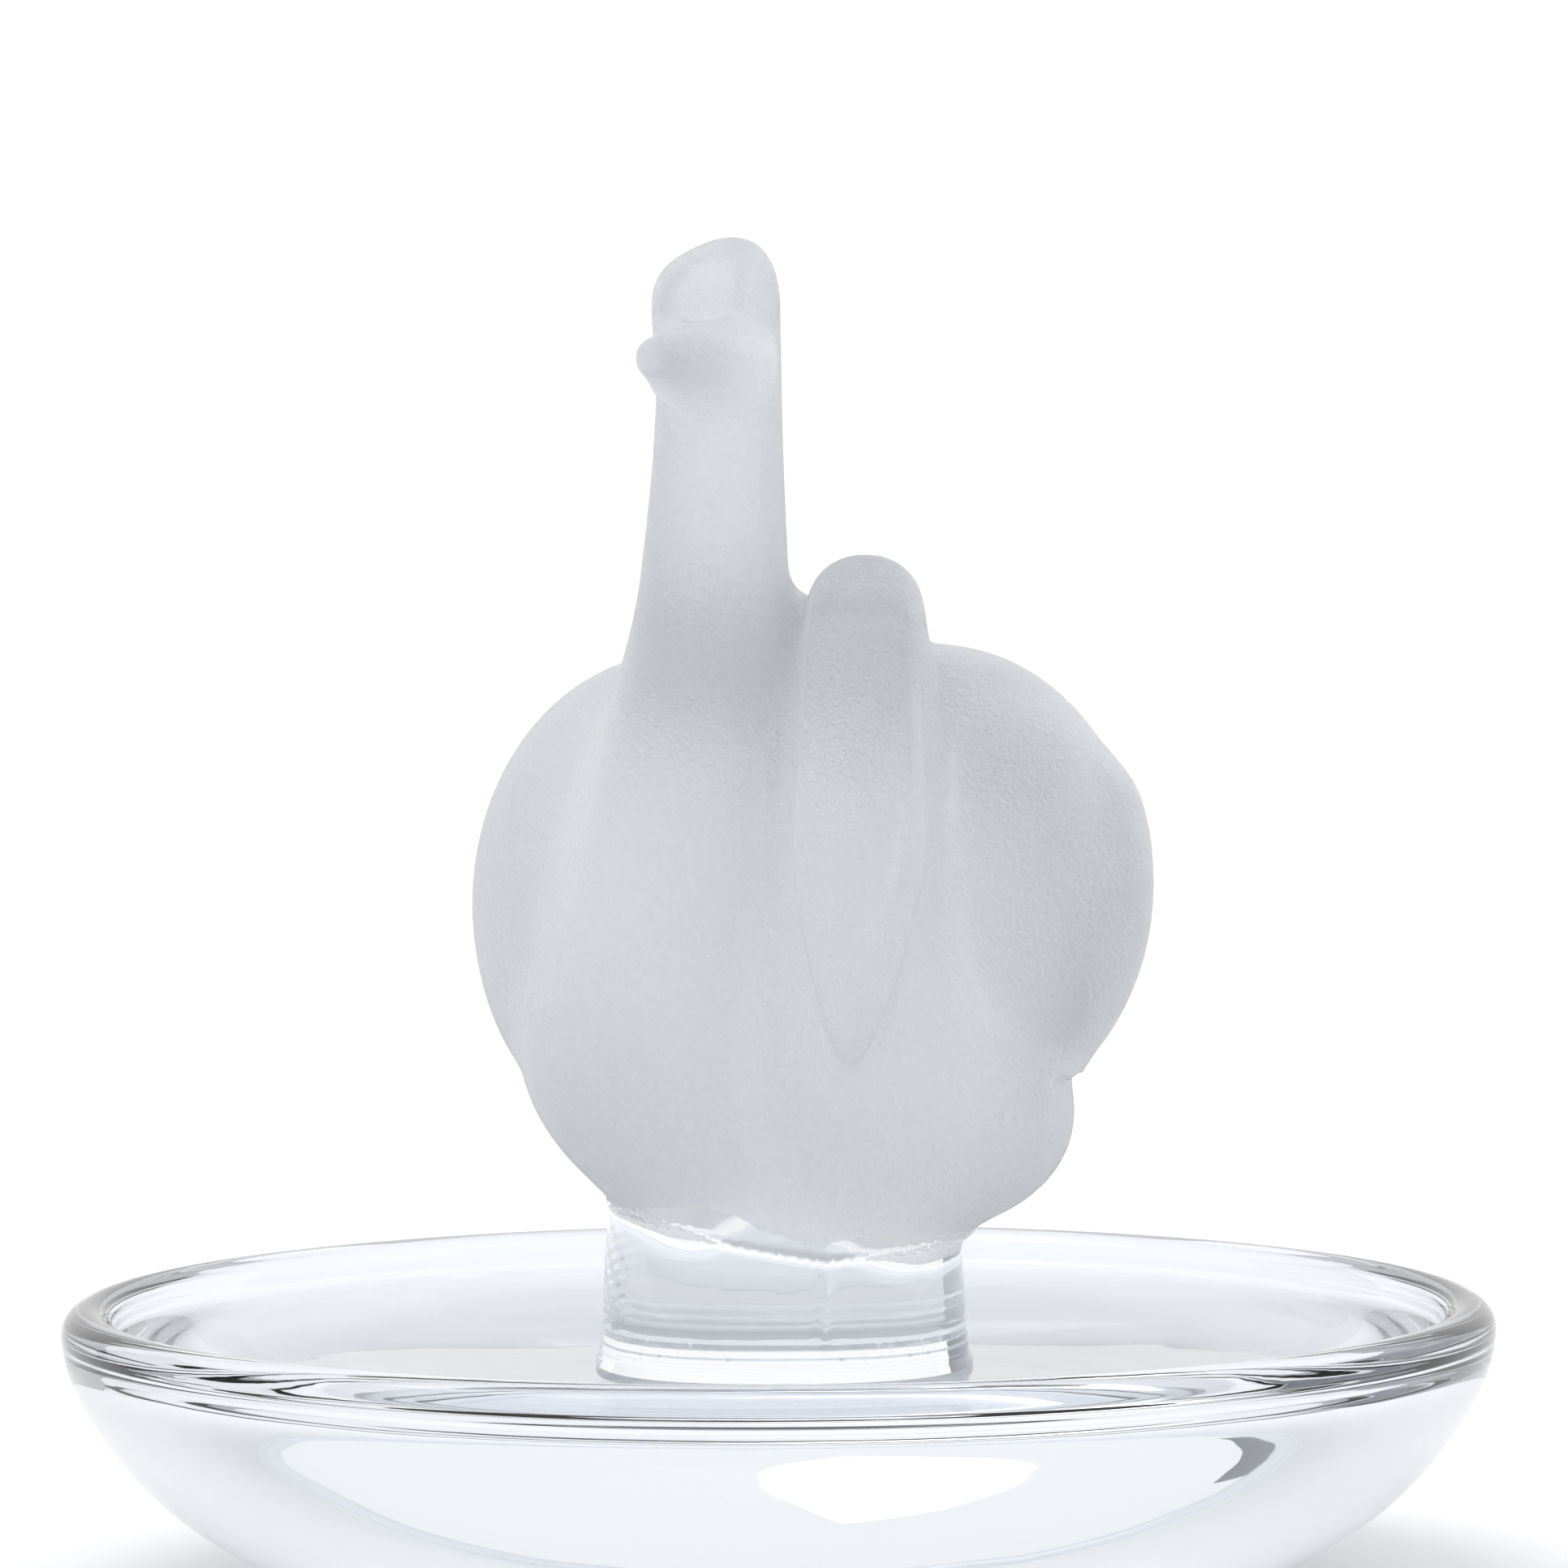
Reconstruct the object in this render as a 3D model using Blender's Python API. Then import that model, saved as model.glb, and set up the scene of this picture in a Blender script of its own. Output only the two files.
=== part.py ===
"""A ring dish in cast crystal: a pair of satin-frosted swans on a clear plinth, in a thick clear dish.

Metres, +Z up. The origin is at the centre of the dish's underside, and the swans face -Y.
Sizes are in millimetres. The swans are carved in units of their own height, measured from the
middle of the plinth's top.
"""

import math

import bmesh
import bpy
import numpy as np
from mathutils import Matrix, Vector

MM = 0.001

# Dish
DISH_DIAMETER = 98.0
FOOT_DIAMETER = 50.0
LIP_CENTRE_HEIGHT = 18.2
LIP_THICKNESS = 3.6
FLOOR_HEIGHT = 15.6
FLOOR_FLAT_DIAMETER = 29.0
OUTSIDE_FULLNESS = 1.75
INSIDE_FULLNESS = 2.5
DISH_SIDES = 64
WALL_STEPS = 6
LIP_STEPS = 6

# Plinth
JOINT_GAP = 0.3
PLINTH_WIDTH = 25.2
PLINTH_DEPTH = 28.5
PLINTH_HEIGHT = 10.2
PLINTH_SQUARENESS = 2.5
PLINTH_TAPER = 0.955
PLINTH_FLARE = 0.35
PLINTH_ROOT = 2.0
ROOT_TAPER = 0.935
PLINTH_ROUNDING = 0.04

# Swans: their height from the plinth's top, and the same height in carving units
SWANS_HEIGHT = 66.2
HEIGHT_UNITS = 66.2
UNIT = SWANS_HEIGHT / HEIGHT_UNITS
SWEEP_SIDES = 40
SWEEP_RINGS = 48
FULL_ROUNDING = 0.5
VOXEL = 0.6
BODY_SOFTENING = 2.8
SOFTENING = 1.2
SWANS_TRIANGLES = 7500
SWANS_OFFSET = 0.4
THROAT_KEY = 4
SHARP_ANGLE = 40.0

# Feathers, in carving units: the wing's lower edge rises towards the tail. A fade is where it starts
# and how long it is.
EDGE_SLOPE = 0.57
EDGE_HEIGHT = 14.3
WING_STEP = 0.9
QUILL_LENGTH = 7.5
QUILL_PITCH = 5.2
QUILL_SLANT = 0.9
QUILL_GROOVE = 0.45
SCALLOP = 1.3
SCALLOP_MIDDLE = 0.4
COVERT_LENGTH = 3.6
COVERT_PITCH = 3.4
COVERT_STEP = 0.4
EDGE_SOFTNESS = 0.9
COVERT_SOFTNESS = 0.6
FRONT_FADE = 3.0
QUILLS_FADE = (1.0, 4.0)
SIDE_FADE = (8.0, 4.0)
TOP_FADE = (28.0, 5.0)
FACING_FADE = (0.1, 0.4)
FEATHER_FRONTS = ((1.0, -12.5), (-1.0, 12.0))

# Flare of the plinth's foot, in carving units: how fast it falls off, and how high it reaches
FLARE_FALL = 0.7
FLARE_REACH = 5.0

PLINTH_FOOT = FLOOR_HEIGHT + JOINT_GAP
PLINTH_TOP = PLINTH_FOOT + PLINTH_HEIGHT


def clear_scene():
    for obj in list(bpy.data.objects):
        bpy.data.objects.remove(obj)


def crystal(name, colour, roughness):
    material = bpy.data.materials.new(name)
    material.use_nodes = True
    shader = material.node_tree.nodes["Principled BSDF"]
    shader.inputs["Base Color"].default_value = (*colour, 1.0)
    shader.inputs["Metallic"].default_value = 0.0
    shader.inputs["Roughness"].default_value = roughness
    shader.inputs["IOR"].default_value = 1.54
    shader.inputs["Transmission Weight"].default_value = 1.0
    return material


def smooth_step(value):
    value = np.clip(value, 0.0, 1.0)
    return value * value * (3.0 - 2.0 * value)


def curve_point(keys, share):
    """The point and the sizes at a share, from 0 to 1, of a smooth curve through the keys."""
    spans = len(keys) - 1
    at = min(max(share, 0.0), 1.0) * spans
    first = min(int(at), spans - 1)
    t = at - first
    a, b, c, d = (np.array(keys[min(max(first + k, 0), spans)], float) for k in (-1, 0, 1, 2))
    row = b + 0.5 * t * (c - a + t * (2 * a - 5 * b + 4 * c - d + t * (3 * (b - c) + d - a)))
    return Vector(row[:3]), row[3:].tolist()


def superellipse(angle, fullness):
    """Cosine and sine of the angle, squared off as the fullness rises above 2."""
    return tuple(
        math.copysign(abs(value) ** (2.0 / fullness), value)
        for value in (math.cos(angle), math.sin(angle))
    )


def section(keys, share):
    """The middle, the two axes and the two half sizes of a form's cross-section."""
    step = 0.5 / SWEEP_RINGS
    centre, sizes = curve_point(keys, share)
    ahead, behind = curve_point(keys, share + step)[0], curve_point(keys, share - step)[0]
    along = (ahead - behind).normalized()
    across = (Vector((1.0, 0.0, 0.0)) - along * along.x).normalized()
    return centre, across, across.cross(along), sizes


def sweep(bm, keys, fullness=2.0, rounding=FULL_ROUNDING):
    """Adds a closed rounded form. Each key is x, y, z, half the width and half the thickness."""
    made = bmesh.ops.create_uvsphere(
        bm, u_segments=SWEEP_SIDES, v_segments=SWEEP_RINGS, radius=1.0
    )
    sections = [section(keys, ring / SWEEP_RINGS) for ring in range(SWEEP_RINGS + 1)]
    for vert in made["verts"]:
        ring = round(math.acos(min(max(vert.co.z, -1.0), 1.0)) / math.pi * SWEEP_RINGS)
        centre, across, thick, (half_width, half_thickness) = sections[ring]
        share = ring / SWEEP_RINGS
        past = max(0.0, abs(2.0 * share - 1.0) - 1.0 + 2.0 * rounding) / (2.0 * rounding)
        size = math.sqrt(max(0.0, 1.0 - past * past))
        c, s = superellipse(math.atan2(vert.co.y, vert.co.x), fullness)
        vert.co = centre + size * (c * half_width * across + s * half_thickness * thick)


def tall_body(bm):
    """The left swan's wing, set back from its breast, and its tail."""
    sweep(bm, [
        (-7.5, -6.0, 9.8, 11.4, 10.8),
        (-7.5, -3.0, 13.2, 13.2, 13.2),
        (-7.4, 7.0, 21.1, 14.1, 15.7),
        (-7.2, 17.0, 27.2, 12.6, 14.1),
        (-7.8, 27.0, 32.5, 9.0, 7.8),
    ])
    sweep(bm, [
        (-7.5, 10.0, 13.0, 8.0, 7.0),
        (-7.8, 17.0, 16.5, 7.0, 4.6),
        (-8.1, 22.5, 20.0, 5.8, 2.8),
        (-8.3, 28.0, 23.5, 4.0, 1.7),
    ], rounding=0.16)


def tall_neck(bm, first=0):
    """The left swan's broad breast, which rises into its upright neck, from one of its keys on."""
    sweep(bm, [
        (-4.0, 0.0, -3.0, 6.4, 12.6),
        (-4.5, -0.6, 2.5, 6.7, 13.3),
        (-8.2, -1.6, 11.2, 9.7, 13.8),
        (-8.4, -2.8, 18.0, 8.7, 12.8),
        (-6.9, -4.4, 26.0, 7.5, 10.8),
        (-5.4, -7.1, 34.0, 6.25, 8.0),
        (-4.6, -9.3, 40.5, 5.3, 6.0),
        (-4.3, -10.2, 46.5, 4.75, 5.0),
        (-4.1, -10.7, 52.5, 4.35, 4.6),
        (-4.0, -10.8, 59.0, 4.15, 4.4),
    ][first:], 2.2, 0.05)


def tall_head(bm):
    """The left swan's arched crown, and its head and bill, turned forward and to the left."""
    sweep(bm, [
        (-4.05, -10.8, 52.0, 4.2, 4.4),
        (-4.1, -11.1, 57.0, 4.25, 4.8),
        (-4.2, -11.4, 60.5, 4.3, 5.1),
        (-4.35, -11.6, 62.6, 4.35, 5.2),
        (-5.6, -12.0, 65.5, 4.5, 5.0),
    ], 2.2, 0.25)
    sweep(bm, [
        (-3.8, -11.5, 57.8, 3.9, 3.2),
        (-4.3, -15.5, 57.6, 4.1, 3.3),
        (-5.2, -18.3, 57.5, 3.7, 3.0),
        (-6.3, -21.0, 57.9, 2.9, 2.3),
        (-7.6, -23.8, 58.2, 2.0, 1.6),
        (-8.6, -25.4, 58.3, 1.4, 1.2),
    ], 2.2, 0.1)


def bowed_body(bm):
    """The right swan's wing with its full wrist, its flank below the wing, and its tail."""
    sweep(bm, [
        (10.2, -11.4, 22.6, 13.9, 15.8),
        (10.2, -7.5, 22.8, 14.1, 16.2),
        (10.2, 1.5, 22.6, 14.0, 15.8),
        (10.1, 12.0, 24.0, 13.2, 14.0),
        (9.6, 27.0, 29.6, 9.0, 8.0),
    ], rounding=0.25)
    sweep(bm, [
        (16.2, -12.6, 22.4, 6.0, 12.2),
        (16.2, -10.0, 22.8, 6.3, 13.0),
        (15.9, -3.0, 23.2, 6.6, 13.0),
        (15.2, 8.0, 24.0, 6.9, 11.4),
    ], rounding=0.4)
    sweep(bm, [
        (9.7, -13.2, 6.9, 9.9, 7.3),
        (9.5, -8.5, 7.1, 10.3, 7.9),
        (9.2, 0.0, 7.4, 10.7, 8.4),
        (8.8, 9.0, 10.4, 10.4, 8.8),
        (8.6, 22.0, 17.0, 8.0, 6.0),
    ], rounding=0.3)
    sweep(bm, [
        (8.4, 10.0, 13.5, 8.0, 7.0),
        (8.6, 17.0, 17.0, 7.0, 4.6),
        (8.8, 22.5, 20.5, 5.8, 2.8),
        (8.9, 28.0, 24.0, 4.0, 1.7),
    ], rounding=0.16)


def bowed_neck(bm, first=0):
    """The right swan's breast and the back of its arched neck, from one of its keys on."""
    sweep(bm, [
        (4.6, 0.0, -3.0, 6.8, 12.6),
        (5.2, -0.6, 3.0, 8.8, 13.8),
        (5.4, -1.6, 10.5, 10.0, 14.8),
        (5.3, -3.0, 15.5, 8.9, 14.4),
        (5.3, -5.6, 20.5, 6.9, 12.2),
        (5.3, -8.6, 25.5, 5.8, 9.4),
        (5.35, -10.6, 31.0, 5.3, 7.4),
        (5.45, -11.2, 36.0, 4.9, 6.6),
        (5.55, -12.0, 40.3, 4.3, 5.2),
    ][first:], 2.3, 0.05)


def bowed_head(bm):
    """The right swan's neck over its arch, its crown, and its bill down on its breast."""
    sweep(bm, [
        (5.55, -11.0, 36.5, 4.5, 4.2),
        (5.6, -11.8, 40.2, 4.2, 4.2),
        (5.6, -13.8, 41.4, 3.9, 3.7),
        (5.5, -16.0, 39.4, 4.0, 3.6),
        (5.25, -17.0, 35.0, 4.0, 3.6),
        (5.15, -17.2, 29.5, 4.3, 3.8),
        (5.1, -17.2, 25.5, 4.5, 3.8),
        (4.9, -17.2, 21.0, 3.8, 3.4),
        (4.7, -17.2, 16.5, 2.7, 2.8),
        (4.5, -17.2, 13.2, 1.5, 2.0),
        (4.4, -17.2, 11.2, 0.7, 1.2),
    ], 2.1, 0.08)


def necks_web(bm):
    """The web of crystal between the two necks."""
    sweep(bm, [
        (-0.8, -5.0, 16.0, 5.5, 7.5),
        (0.0, -6.0, 26.0, 4.4, 5.6),
        (0.6, -7.6, 34.0, 3.4, 3.8),
        (1.0, -8.8, 42.3, 2.9, 3.8),
    ], 2.2, 0.06)


def shared_body(bm):
    """The swans' bellies over the plinth, and their backs behind the two necks."""
    sweep(bm, [
        (0.1, 0.0, -3.0, 11.0, 13.2),
        (0.2, 0.0, 0.0, 11.4, 13.4),
        (0.5, -0.2, 5.0, 12.0, 13.6),
        (0.6, -0.4, 11.0, 15.4, 12.8),
        (0.9, -0.8, 18.0, 14.0, 11.6),
        (1.1, -2.0, 26.0, 10.0, 8.5),
    ], 2.4, 0.1)
    sweep(bm, [
        (2.0, -12.2, 30.0, 8.6, 10.4),
        (2.0, -9.0, 30.0, 8.8, 10.6),
        (1.8, -3.0, 29.6, 9.2, 10.8),
        (1.4, 7.0, 26.0, 9.5, 12.0),
        (1.2, 19.5, 17.0, 7.0, 8.0),
    ], rounding=0.2)


def throats(bm):
    """The upper necks, which keep their slimness beside the soft bodies."""
    tall_neck(bm, THROAT_KEY)
    bowed_neck(bm, THROAT_KEY)


def plinth(bm):
    """The clear plinth, from a root inside the swans to below its foot, where it is cut flat."""
    widths = (ROOT_TAPER, PLINTH_TAPER, 1.0, 1.0)
    heights = (PLINTH_ROOT, 0.0, -PLINTH_HEIGHT, -PLINTH_HEIGHT - PLINTH_ROOT)
    half_width = 0.5 * PLINTH_WIDTH / UNIT
    half_depth = 0.5 * PLINTH_DEPTH / UNIT
    sweep(bm, [
        (0.0, 0.0, height / UNIT, half_width * width, half_depth * width)
        for width, height in zip(widths, heights)
    ], PLINTH_SQUARENESS, PLINTH_ROUNDING)


def evaluated_mesh(obj, name):
    """The object's mesh with its modifiers applied, and the object removed."""
    graph = bpy.context.evaluated_depsgraph_get()
    mesh = bpy.data.meshes.new_from_object(obj.evaluated_get(graph))
    mesh.name = name
    bpy.data.objects.remove(obj)
    return mesh


def fused(forms, softening, body=None):
    """One skin around all the forms and a finished body, its creases softened as in pressed glass."""
    bm = bmesh.new()
    if body:
        bm.from_mesh(body)
    for form in forms:
        form(bm)
    mesh = bpy.data.meshes.new("forms")
    bm.to_mesh(mesh)
    bm.free()
    obj = bpy.data.objects.new("forms", mesh)
    bpy.context.scene.collection.objects.link(obj)
    skin = obj.modifiers.new("one skin", "REMESH")
    skin.mode = "VOXEL"
    skin.voxel_size = VOXEL
    soft = obj.modifiers.new("soft creases", "SMOOTH")
    soft.factor = 0.5
    soft.iterations = round(2.0 * (softening / VOXEL) ** 2)
    return evaluated_mesh(obj, "skin")


def faded(value, start, length):
    """0 up to a start, and a smooth rise to 1 over a length after it."""
    return smooth_step((value - start) / length)


def feather_height(points, side, front):
    """How far the wing stands out: a step at its scalloped lower edge, long feathers, then coverts."""
    slope = math.atan(EDGE_SLOPE)
    rise = points[:, 2] - EDGE_HEIGHT
    along = points[:, 1] * math.cos(slope) + rise * math.sin(slope)
    above = rise * math.cos(slope) - points[:, 1] * math.sin(slope)
    quill = np.abs(np.sin(math.pi * (along + QUILL_SLANT * above) / QUILL_PITCH))
    covert = np.abs(np.sin(math.pi * along / COVERT_PITCH))
    wing = smooth_step((above + SCALLOP * (quill - SCALLOP_MIDDLE)) / EDGE_SOFTNESS)
    into_coverts = above - QUILL_LENGTH + 0.5 * SCALLOP * covert
    grooves = QUILL_GROOVE * (1.0 - quill) ** 3 * (into_coverts < 0.0)
    coverts = COVERT_STEP * smooth_step(into_coverts / COVERT_SOFTNESS)
    coverts *= 1.0 - faded(into_coverts, COVERT_SOFTNESS, COVERT_LENGTH)
    quills = faded(points[:, 1], *QUILLS_FADE) * (coverts - grooves)
    outer = faded(side * points[:, 0], *SIDE_FADE) * faded(points[:, 1], front, FRONT_FADE)
    return outer * wing * (WING_STEP + quills)


def foot_flare(points):
    """The small fillet that spreads where the plinth meets the dish's floor."""
    foot = -PLINTH_HEIGHT / UNIT
    fall = np.exp(np.minimum(0.0, (foot - points[:, 2]) / FLARE_FALL))
    return PLINTH_FLARE * fall * (points[:, 2] < foot + FLARE_REACH)


def carve(mesh):
    """Moves the skin out along its normals for the wings' feathers and the plinth's flared foot."""
    count = len(mesh.vertices)
    points, normals = np.empty(count * 3, np.float32), np.empty(count * 3, np.float32)
    mesh.vertices.foreach_get("co", points)
    mesh.vertices.foreach_get("normal", normals)
    points, normals = points.reshape(-1, 3), normals.reshape(-1, 3)
    relief = foot_flare(points)
    for side, front in FEATHER_FRONTS:
        facing = faded(side * normals[:, 0], *FACING_FADE) * (1.0 - faded(points[:, 2], *TOP_FADE))
        relief += facing * feather_height(points, side, front)
    points += normals * relief[:, None]
    mesh.vertices.foreach_set("co", points.ravel())
    mesh.update()


def placed(mesh, triangles):
    """The carved skin thinned, cut flat at the plinth's foot and set over the dish's floor."""
    obj = bpy.data.objects.new("skin", mesh)
    bpy.context.scene.collection.objects.link(obj)
    thin = obj.modifiers.new("fewer faces", "DECIMATE")
    thin.ratio = min(1.0, triangles / (2.0 * len(mesh.polygons)))
    thin.use_collapse_triangulate = True
    mesh = evaluated_mesh(obj, "swan_pair")
    bm = bmesh.new()
    bm.from_mesh(mesh)
    bmesh.ops.transform(bm, matrix=Matrix.Scale(UNIT * MM, 4), verts=bm.verts)
    bmesh.ops.translate(bm, vec=(SWANS_OFFSET * MM, 0.0, PLINTH_TOP * MM), verts=bm.verts)
    bmesh.ops.bisect_plane(
        bm, geom=bm.verts[:] + bm.edges[:] + bm.faces[:],
        plane_co=(0.0, 0.0, PLINTH_FOOT * MM), plane_no=(0.0, 0.0, -1.0), clear_outer=True,
    )
    bmesh.ops.holes_fill(bm, edges=[edge for edge in bm.edges if edge.is_boundary])
    bmesh.ops.recalc_face_normals(bm, faces=bm.faces)
    bm.to_mesh(mesh)
    bm.free()
    return mesh


def add_object(name, mesh, *materials):
    obj = bpy.data.objects.new(name, mesh)
    bpy.context.scene.collection.objects.link(obj)
    for material in materials:
        mesh.materials.append(material)
    mesh.shade_smooth()
    mesh.set_sharp_from_angle(angle=math.radians(SHARP_ANGLE))
    return obj


def build_swans(frosted):
    body = fused(
        (tall_body, bowed_body, shared_body, tall_neck, bowed_neck, necks_web), BODY_SOFTENING
    )
    mesh = fused((throats, tall_head, bowed_head, plinth), SOFTENING, body)
    carve(mesh)
    return add_object("swan_pair", placed(mesh, SWANS_TRIANGLES), frosted)


def dish_profile():
    """The dish's half section, from the middle of its underside, round the lip, to its floor."""
    foot, lip = 0.5 * FOOT_DIAMETER, 0.5 * LIP_THICKNESS
    outside = 0.5 * DISH_DIAMETER
    inside = outside - LIP_THICKNESS
    flat = 0.5 * FLOOR_FLAT_DIAMETER
    points = [(0.0, 0.0)]
    for k in range(WALL_STEPS + 1):
        c, s = superellipse(0.5 * math.pi * (1.0 - k / WALL_STEPS), OUTSIDE_FULLNESS)
        points.append((foot + (outside - foot) * c, LIP_CENTRE_HEIGHT * (1.0 - s)))
    for k in range(1, LIP_STEPS):
        turn = math.pi * k / LIP_STEPS
        points.append((
            outside - lip + lip * math.cos(turn), LIP_CENTRE_HEIGHT + lip * math.sin(turn)
        ))
    for k in range(WALL_STEPS + 1):
        c, s = superellipse(0.5 * math.pi * k / WALL_STEPS, INSIDE_FULLNESS)
        points.append((
            flat + (inside - flat) * c,
            LIP_CENTRE_HEIGHT - (LIP_CENTRE_HEIGHT - FLOOR_HEIGHT) * s,
        ))
    points.append((0.0, FLOOR_HEIGHT))
    return points


def build_dish(clear):
    bm = bmesh.new()
    verts = [bm.verts.new((radius * MM, 0.0, height * MM)) for radius, height in dish_profile()]
    edges = [bm.edges.new(pair) for pair in zip(verts, verts[1:])]
    bmesh.ops.spin(
        bm, geom=verts + edges, cent=(0.0, 0.0, 0.0), axis=(0.0, 0.0, 1.0),
        angle=2.0 * math.pi, steps=DISH_SIDES, use_merge=True,
    )
    bmesh.ops.remove_doubles(bm, verts=bm.verts, dist=0.01 * MM)
    bmesh.ops.recalc_face_normals(bm, faces=bm.faces)
    mesh = bpy.data.meshes.new("dish")
    bm.to_mesh(mesh)
    bm.free()
    return add_object("dish", mesh, clear)


def main():
    clear_scene()
    frosted = crystal("frosted crystal", (0.93, 0.94, 0.96), 0.5)
    clear = crystal("clear crystal", (0.98, 0.99, 1.0), 0.02)
    build_dish(clear)
    build_swans(frosted)


main()
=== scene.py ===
"""The looks of a crystal ring dish: satin-frosted swans on a clear plinth in a clear dish.

Metres, +Z up, the swans facing -Y. Pieces are shaped in millimetres, and made metres as their
last step. The swans are carved from the middle of the plinth's top, and then lifted onto the
dish's floor.
"""

import logging
import math
from collections.abc import Callable, Sequence
from dataclasses import dataclass, field, replace
from enum import Enum

import bmesh
import bpy
import numpy as np
from mathutils import Euler, Matrix, Vector


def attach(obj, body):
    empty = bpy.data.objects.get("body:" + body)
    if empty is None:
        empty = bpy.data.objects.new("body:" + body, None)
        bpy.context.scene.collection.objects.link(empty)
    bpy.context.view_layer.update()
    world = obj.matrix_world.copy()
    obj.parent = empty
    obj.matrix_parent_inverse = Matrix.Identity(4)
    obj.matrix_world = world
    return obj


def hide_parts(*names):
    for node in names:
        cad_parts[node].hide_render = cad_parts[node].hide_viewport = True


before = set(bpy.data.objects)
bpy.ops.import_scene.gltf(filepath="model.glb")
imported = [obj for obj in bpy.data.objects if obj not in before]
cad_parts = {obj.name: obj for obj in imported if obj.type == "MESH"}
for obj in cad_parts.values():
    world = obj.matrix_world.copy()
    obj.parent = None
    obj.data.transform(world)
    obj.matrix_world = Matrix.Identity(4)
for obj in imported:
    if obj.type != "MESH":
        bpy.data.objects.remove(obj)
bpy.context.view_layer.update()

LOG = logging.getLogger("crystal swans")

MM = 0.001
SHARP_ANGLE = math.radians(50.0)

# A form's key is x, y, z, half width and half thickness. A line's points are x and z, or z and x
# for the upright seam. A fade is where it starts and how far on it ends. A ripple is its height
# and its radians per millimetre along x and y.
Key = tuple[float, float, float, float, float]
Line = tuple[tuple[float, float], ...]
Fade = tuple[float, float]
Ripple = tuple[float, float, float]
Colour = tuple[float, float, float]
Place = tuple[float, float, float]


class Side(Enum):
    """The side of the pair that a swan's outer wing faces."""

    LEFT = -1.0
    RIGHT = 1.0


class Slot(Enum):
    """The names of two material slots."""

    CLEAR = "clear crystal"
    FROSTED = "frosted crystal"


def smooth_step(value: np.ndarray) -> np.ndarray:
    """A smooth rise from 0 to 1 as the value goes from 0 to 1."""
    value = np.clip(value, 0.0, 1.0)
    return value * value * (3.0 - 2.0 * value)


def fade_in(value: np.ndarray, fade: Fade) -> np.ndarray:
    """A smooth rise from 0 to 1.

    Args:
        value: What it goes by.
        fade: The value where it starts, and how far on it ends.

    Returns:
        The share at each value.
    """
    start, over = fade
    return smooth_step((value - start) / over)


def rippled(ripples: Sequence[Ripple], points: np.ndarray) -> np.ndarray:
    """Small waves laid over each other.

    Args:
        ripples: Each wave's height, and its radians per millimetre along x and y.
        points: Where it is read, in millimetres.

    Returns:
        The height at each point in millimetres.
    """
    return sum(
        height * np.sin(along_x * points[:, 0] + along_y * points[:, 1])
        for height, along_x, along_y in ripples
    )


def bump_shape(value: np.ndarray, middle: float, width: float) -> np.ndarray:
    """A smooth hump of height 1 about a middle value."""
    return np.exp(-(((value - middle) / width) ** 2))


def superellipse(angle: float, fullness: float) -> tuple[float, float]:
    """Cosine and sine of an angle, squared off as the fullness rises above 2.

    Args:
        angle: In radians.
        fullness: 2 for a true ellipse, more for a squarer one.

    Returns:
        The pair, each from -1 to 1.
    """
    return tuple(
        math.copysign(abs(value) ** (2.0 / fullness), value)
        for value in (math.cos(angle), math.sin(angle))
    )


def curve_point(keys: Sequence[Key], share: float) -> tuple[Vector, list[float]]:
    """Reads a smooth curve through keys.

    Args:
        keys: Rows of x, y, z, half width and half thickness.
        share: Where on the curve, from 0 to 1.

    Returns:
        The point, and the half width and half thickness there.
    """
    spans = len(keys) - 1
    at = min(max(share, 0.0), 1.0) * spans
    first = min(int(at), spans - 1)
    t = at - first
    a, b, c, d = (np.array(keys[min(max(first + k, 0), spans)], float) for k in (-1, 0, 1, 2))
    row = b + 0.5 * t * (c - a + t * (2 * a - 5 * b + 4 * c - d + t * (3 * (b - c) + d - a)))
    return Vector(row[:3]), row[3:].tolist()


def evaluated_mesh(obj: bpy.types.Object, name: str) -> bpy.types.Mesh:
    """Applies an object's modifiers and removes the object.

    Args:
        obj: The object that carries them.
        name: The new mesh's name.

    Returns:
        The finished mesh.
    """
    graph = bpy.context.evaluated_depsgraph_get()
    mesh = bpy.data.meshes.new_from_object(obj.evaluated_get(graph))
    mesh.name = name
    bpy.data.objects.remove(obj)
    return mesh


def linked_object(name: str, mesh: bpy.types.Mesh) -> bpy.types.Object:
    """A new object for a mesh, in the scene."""
    obj = bpy.data.objects.new(name, mesh)
    bpy.context.scene.collection.objects.link(obj)
    return obj


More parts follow.
